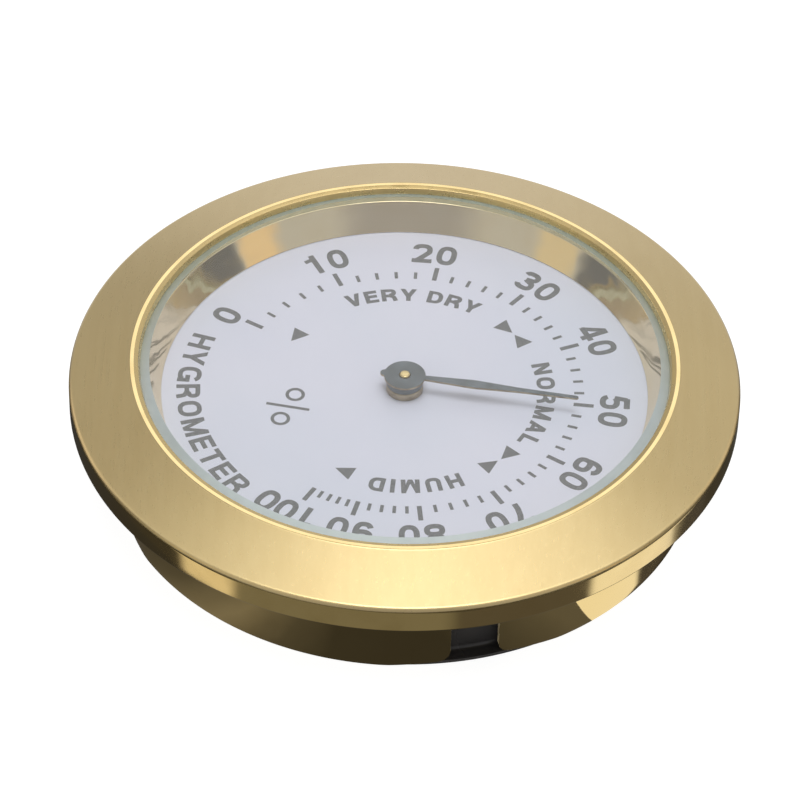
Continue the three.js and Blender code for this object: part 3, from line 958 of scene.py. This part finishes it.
def post_places():
    for i in range(POST_COUNT):
        turn = POST_FIRST + TURN * i / POST_COUNT
        yield i + 1, POST_R * math.cos(turn), POST_R * math.sin(turn)


def stadium(length, width):
    """Outline of a slot with round ends, along X."""
    return both_ways(arc_points(length / 2, 0, width / 2, -QUARTER, QUARTER, 8))


def make_case():
    wall_r, flange_r, flange_z = 28.8, case_high.x, 0.4
    inner = wall_r - 1.2
    seat_r, ledge, top = DIAL_R + 0.15, dial_low.z - 0.05, case_high.z
    shell = lathe("vented_case", [
        (ADJUSTER_HOLE_R, 0, 0.2),
        (flange_r, 0, 0.15),
        (flange_r, flange_z, 0.15),
        (wall_r, flange_z, 0.5),
        (wall_r, top, 0.1),
        (seat_r, top, 0.05),
        (seat_r, ledge),
        (inner, ledge, 0.05),
        (inner, CASE_BASE, 0.3),
        (ADJUSTER_HOLE_R, CASE_BASE, 0.15),
    ], [BLACK], sides=192)
    cutters = []
    for i in range(VENT_COUNT):
        vent = placed(prism("vent", stadium(6.5, 1.6), -1, 2.5, []), x=13.5)
        cutters.append(placed(vent, turn=TURN * (i + 0.5) / VENT_COUNT))
    for _, x, y in post_places():
        corners = [(0, -1), (2.1, -1), (2.1, 0.7), (1.1, 0.7), (1.1, 2.5), (0, 2.5)]
        cutters.append(placed(lathe("hole", corners, [], sides=48), x, y))
    cut(shell, cutters)
    stands_for(shell, "housing", "black_plastic", "rear_case")


def screw_part(name, head_r, shank_r, low, shoulder, high):
    """A slotted screw that points up, with a thread on its shank."""
    pitch = 0.4
    core_r = shank_r * 0.8
    slot_half, slot_depth = 0.25, 0.35
    corners = [(0, low), (head_r, low, 0.12), (head_r, shoulder, 0.05), (core_r, shoulder)]
    z = shoulder + 0.3
    while z < high - 0.8:
        corners += [(core_r, z), (shank_r, z + pitch / 2), (core_r, z + pitch)]
        z += pitch + 0.01
    corners += [(shank_r * 0.3, high), (0, high)]
    piece = lathe(name, corners, [STEEL], sides=40)
    return cut(piece, [slot_cutter(head_r * 1.5, slot_half, low - 1, low + slot_depth)])


def pilot_post(name, r, bore, low, bore_top, high):
    """A post whose blind bore opens downwards."""
    corners = [(0, bore_top), (bore, bore_top), (bore, low), (r, low, 0.12), (r, high, 0.1), (0, high)]
    return lathe(name, corners, [TURNED], sides=48)


def make_posts():
    under = dial_low.z - 0.05
    for i, x, y in post_places():
        post = placed(pilot_post(f"rear_post_{i}", 2.0, 0.85, CASE_BASE + 0.05, 5.6, under), x, y)
        stands_for(post, "housing", "turned_brass", f"dial_post_{i}")
        fixing = placed(screw_part(f"rear_screw_{i}", 1.9, 0.75, 0.1, 0.65, 5.2), x, y)
        stands_for(fixing, "housing", "steel", f"case_screw_{i}")


# ---- movement ----
PILLAR_X = 12.5
ANCHOR_X = 9.2


def make_bridge():
    low, high = heights("movement_bridge")
    end_r, eye_r = 2.4, 4.2
    lean = math.acos(end_r / eye_r)
    half = arc_points(PILLAR_X, 0, end_r, -QUARTER, QUARTER, 12)
    half += arc_points(0, 0, eye_r, QUARTER - lean, QUARTER + lean, 12)
    strap = prism("bridge_strap", both_ways(half), low, high, [TURNED])
    cut(strap, [drill(2.1, 0, 5, sides=64), *(drill(0.8, 0, 5, x, sides=32) for x in (-PILLAR_X, PILLAR_X))])
    round_edges(strap, 0.1)
    stands_for(strap, "housing", "turned_brass", "movement_bridge")
    for i, x in enumerate((-PILLAR_X, PILLAR_X), 1):
        pillar = pilot_post(f"strap_pillar_{i}", 1.6, 0.7, high + 0.05, 6.6, dial_low.z - 0.05)
        stands_for(placed(pillar, x=x), "housing", "turned_brass", f"bridge_pillar_{i}")
        fixing = screw_part(f"strap_screw_{i}", 1.4, 0.6, 1.45, low - 0.05, 6.2)
        stands_for(placed(fixing, x=x), "housing", "steel", f"bridge_screw_{i}")


def make_nut():
    hexagon = arc_points(0, 0, 2.9, 0, TURN, 6)[:-1]
    nut = prism("clamp_nut", hexagon, *heights("bush_nut"), [TURNED])
    cut(nut, [drill(1.57, 6, 10)])
    round_edges(nut, 0.12)
    stands_for(nut, "housing", "turned_brass", "bush_nut")


def make_adjuster():
    low, high = heights("regulator_stud")
    head_r, head_z = 2.8, 1.75
    neck_r, neck_z = 2.0, heights("movement_bridge")[1] + 0.03
    stem_r, bore, bore_z = 1.5, 0.36, 3.0
    stud = lathe("adjuster_stud", [
        (0, low),
        (head_r, low, 0.25),
        (head_r, head_z, 0.08),
        (neck_r, head_z),
        (neck_r, neck_z, 0.05),
        (stem_r, neck_z),
        (stem_r, high, 0.1),
        (bore, high),
        (bore, bore_z),
        (0, bore_z),
    ], [TURNED], sides=72)
    cut(stud, [slot_cutter(head_r + 0.7, 0.4, -1, 1.1)])
    stands_for(stud, "regulator", "turned_brass", "regulator_stud")


def make_arm():
    hub_r = 2.9
    start = math.asin(1.3 / hub_r)
    outline = arc_points(ANCHOR_X, 0, 0.9, -QUARTER, QUARTER, 12)
    outline += arc_points(0, 0, hub_r, start, TURN - start, 40)
    arm = prism("adjuster_arm", outline, *heights("regulator_arm"), [TURNED])
    cut(arm, [drill(1.57, 0, 6), drill(0.5, 0, 6, ANCHOR_X, sides=32)])
    round_edges(arm, 0.06)
    stands_for(arm, "regulator", "turned_brass", "regulator_arm")


def make_coil_stud():
    low, high = heights("coil_stud")
    pin_r, collar_r, post_r = 0.45, 0.75, 0.5
    collar_z, collar_top = heights("regulator_arm")[1] + 0.05, 4.3
    anchor = lathe("coil_anchor", [
        (0, low),
        (pin_r, low, 0.05),
        (pin_r, collar_z),
        (collar_r, collar_z, 0.05),
        (collar_r, collar_top, 0.1),
        (post_r, collar_top),
        (post_r, high, 0.1),
        (0, high),
    ], [TURNED], sides=32)
    stands_for(placed(anchor, x=ANCHOR_X), "regulator", "turned_brass", "coil_stud")


def make_washer():
    washer = tube("spring_washer", 2.1, 3.0, *heights("friction_washer"), 0.05, 0.08, STEEL, 72)
    stands_for(washer, "housing", "steel", "friction_washer")


def make_coil():
    turns, start_r, end_r, strip = 4.9, 1.95, 8.4, 0.22
    steps = 480
    inner, outer = [], []
    for i in range(steps + 1):
        share = i / steps
        angle = TURN * turns * (share - 1)
        along = Vector((math.cos(angle), math.sin(angle)))
        r = start_r + (end_r - start_r) * share
        inner.append(along * (r - strip / 2))
        outer.append(along * (r + strip / 2))
    coil = mesh_object("moisture_coil", *strip_slab((inner, outer, False), *heights("sensor_coil")), [STRIP])
    round_edges(coil, 0.04, segments=2)
    stands_for(coil, "regulator", "coil_strip", "sensor_coil")
    collet = tube("arbor_collet", 0.61, 1.6, *heights("coil_collet"), 0.05, 0.15, TURNED, 72)
    stands_for(collet, "pointer", "turned_brass", "coil_collet")


# ---- studio ----
def make_floor():
    half = 6000
    corners = [(-half, -half, 0), (half, -half, 0), (half, half, 0), (-half, half, 0)]
    floor = mesh_object("floor", corners, [[0, 1, 2, 3]], [pale_floor()])
    floor.visible_glossy = False


def make_softbox():
    """One broad light overhead, which nothing mirrors."""
    place = around(178, 87) * 0.9
    data = bpy.data.lights.new("overhead_softbox", "AREA")
    data.shape = "RECTANGLE"
    data.size = 0.4
    data.size_y = 0.3
    data.energy = 1.75
    lamp = new_object("overhead_softbox", data)
    lamp.location = place
    lamp.rotation_mode = "QUATERNION"
    lamp.rotation_quaternion = (Vector((0, 0, 0.01)) - place).to_track_quat("-Z", "Y")
    lamp.visible_glossy = False


# Soft shapes of the studio, seen only as reflections, one row each:
# azimuth, elevation, half width and soft edge in degrees, then the light's colour.
STUDIO_PATCHES = (
    (180, 4, 22, 30, (0.66, 0.65, 0.64)),
    (-150, 32, 16, 22, (0.41, 0.405, 0.4)),
    (150, 32, 16, 22, (0.56, 0.555, 0.55)),
    (0, 25, 16, 16, (0.33, 0.325, 0.345)),
    (180, 44, 5, 7, (1.35, 1.33, 1.3)),
    (180, 66, 8, 5, (0.45, 0.42, 0.36)),
    (0, 80, 9, 7, (3.6, 3.6, 3.5)),
    (114, 10, 14, 6, (0.72, 0.66, 0.58)),
    (-116, 10, 14, 6, (0.85, 0.77, 0.69)),
    (66, 18, 8, 5, (0.83, 0.64, 0.38)),
    (-66, 18, 8, 5, (0.69, 0.59, 0.39)),
    (87, 14, 10, 5, (0.1, 0.1, 0.105)),
    (-88, 14, 10, 5, (0.1, 0.1, 0.105)),
    (-22, -42, 26, 8, (0.2, 0.19, 0.15)),
    (-70, -42, 6, 4, (0.8, 0.72, 0.55)),
    (46, -42, 17, 3, (0.1, 0.09, 0.075)),
    (91, -42, 14, 3, (1.0, 0.97, 0.88)),
    (118, -42, 6, 3, (0.07, 0.065, 0.06)),
)


def make_world():
    """A soft studio seen in the metal: bright above, grey round the camera, dark below."""
    world = bpy.data.worlds.new("studio")
    bpy.context.scene.world = world
    world.use_nodes = True
    tree = Tree(world.node_tree)
    way = tree.add("TexCoord").outputs["Generated"]
    height = tree.add("SeparateXYZ", {0: way}).outputs[2]
    overhead = tree.add("VectorMath", {0: way, 1: around(110, 80)}, operation="DOT_PRODUCT").outputs[1]
    sky = tree.mix(tree.ramp(overhead, 0.77, 0.99), rgb(0.5, 0.5, 0.5), rgb(1.28, 1.27, 1.25))
    colour = tree.mix(tree.ramp(height, -0.1, 0.03), rgb(0.05, 0.045, 0.035), sky)
    for azimuth, elevation, half, edge, tint in STUDIO_PATCHES:
        inputs = {0: way, 1: around(azimuth, elevation)}
        near = tree.add("VectorMath", inputs, operation="DOT_PRODUCT").outputs[1]
        inside = math.cos(math.radians(half))
        outside = math.cos(math.radians(half + edge))
        colour = tree.mix(tree.ramp(near, outside, inside), colour, rgb(*tint))
    seen = tree.add("LightPath").outputs["Is Camera Ray"]
    colour = tree.mix(seen, colour, rgb(1, 1, 1))
    tree.link(colour, world.node_tree.nodes["Background"].inputs["Color"])


# Painted shade on a sheet close under the rim, seen only mirrored in the skirt: place along the camera's
# right in millimetres, and how bright it is there.
MIRRORED_SHADE_TONES = ((-32, 0.04), (-26, 0.09), (-19, 0.21), (-13, 0.08), (-8, 0.045), (6, 0.04), (13, 0.075),
              (19, 0.12))


def make_shadow_card():
    """A sheet of painted shade close under the rim, seen only mirrored in the skirt."""
    inner, outer = 30.5, 43.0
    first, last = -150, 40
    steps = 60
    ways = [around(first + (last - first) * k / steps, 0) for k in range(steps + 1)]
    vertices = [way * r + Vector((0, 0, 0.01)) for r in (inner, outer) for way in ways]
    faces = [[k, k + 1, k + steps + 2, k + steps + 1] for k in range(steps)]
    material, tree, shader = new_material("shadow_card", Base_Color=rgb(0, 0, 0), Specular_IOR_Level=0.0,
                                          Emission_Strength=1.0)
    place = tree.add("TexCoord").outputs["Object"]
    right = tree.add("VectorMath", {0: place, 1: around(90, 0)}, operation="DOT_PRODUCT").outputs[1]
    wobble = tree.math("MULTIPLY", tree.noise(150.0), 4 * MM)
    low, high = MIRRORED_SHADE_TONES[0][0], MIRRORED_SHADE_TONES[-1][0]
    spread = tree.add("MapRange", {"Value": tree.math("ADD", right, wobble), "From Min": (low + 2) * MM,
                                   "From Max": (high + 2) * MM}).outputs[0]
    ramp = tree.add("ValToRGB", {0: spread})
    stops = ramp.color_ramp.elements
    while len(stops) < len(MIRRORED_SHADE_TONES):
        stops.new(0.5)
    for stop, (where, tone) in zip(stops, MIRRORED_SHADE_TONES):
        stop.position = (where - low) / (high - low)
        stop.color = rgb(tone, tone * 0.95, tone * 0.85)
    tree.link(ramp.outputs[0], shader.inputs["Emission Color"])
    card = mesh_object("shadow_card", vertices, faces, [material])
    card.visible_camera = card.visible_diffuse = card.visible_shadow = card.visible_transmission = False


# ---- assembly ----
make_bezel()
make_lens()
make_reflector()
make_dial()
make_ticks()
make_triangles()
make_numerals()
make_words()
make_percent()
make_pointer()
make_hub()
make_skirt()
make_case()
make_posts()
make_bridge()
make_nut()
make_adjuster()
make_arm()
make_coil_stud()
make_washer()
make_coil()
make_floor()
make_softbox()
make_shadow_card()
make_world()
bpy.context.scene.view_settings.view_transform = "Standard"
